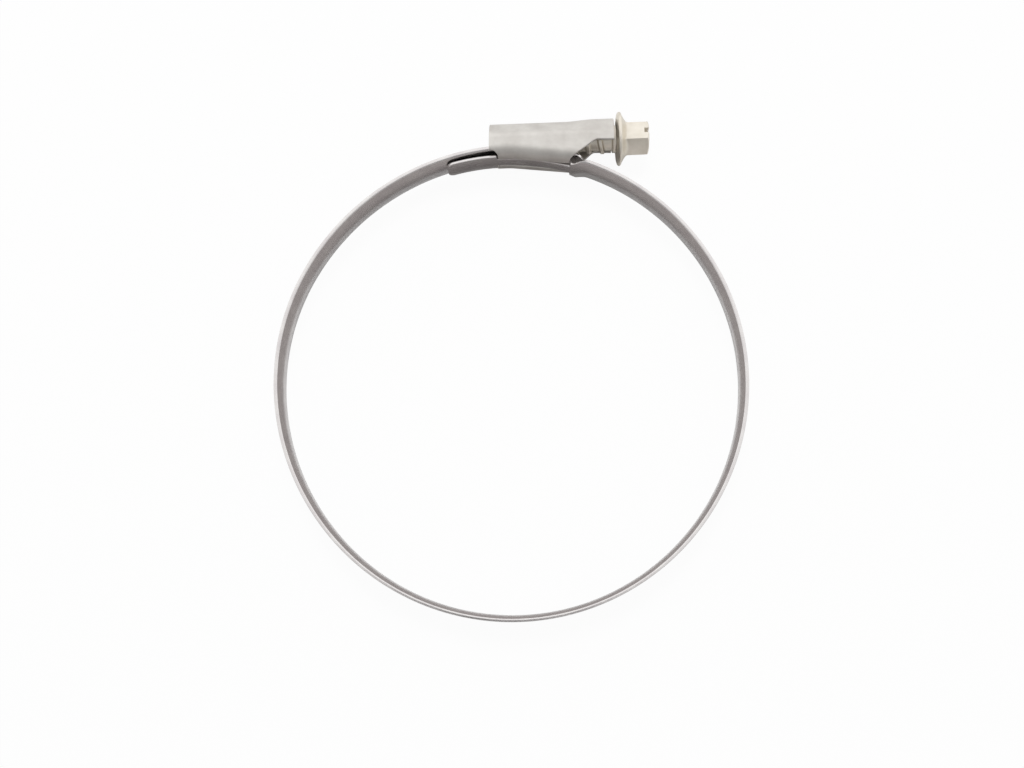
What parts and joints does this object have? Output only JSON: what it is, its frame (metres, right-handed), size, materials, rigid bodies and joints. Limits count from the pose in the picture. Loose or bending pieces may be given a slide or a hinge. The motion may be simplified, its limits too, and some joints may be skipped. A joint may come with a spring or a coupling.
{
  "type": "worm-drive hose clamp",
  "caption": "Ring-shaped steel band clamp with a pressed housing and a slotted hexagon worm screw that draws the threaded band end through it.",
  "frame": {"origin": "centre of the hose seat: the axis of the ring, half way across the band's width", "axes": "+Z along the ring's axis with the clamp lying flat, +Y from the centre to the housing, +X the way the screw's head points"},
  "size_m": [0.1081, 0.1174, 0.0116],
  "materials": {
    "band_steel": "cold-rolled strip, satin",
    "housing_steel": "pressed sheet, matt",
    "plated_steel": "plated, soft sheen"
  },
  "bodies": {
    "ring": {"band": "band_steel", "housing": "housing_steel"},
    "drawn_end": {"band_threaded_end": "band_steel"},
    "screw": {"worm_screw": "plated_steel"}
  },
  "joints": [
    {"name": "worm_turn", "type": "hinge", "parent": "ring", "child": "screw", "pos_m": [-0.00034, 0.05658, 0], "axis": [-0.9993, -0.0384, 0], "range_deg": [-1731, 5780]},
    {"name": "band_feed", "type": "hinge", "parent": "ring", "child": "drawn_end", "pos_m": [0.00191, -0.00204, 0], "axis": [0, 0, -1], "range_deg": [-14.9, 49.6], "deforming": ["band"]}
  ],
  "couplings": [
    {"joint": "band_feed", "follows": "worm_turn", "ratio": 0.008566}
  ]
}
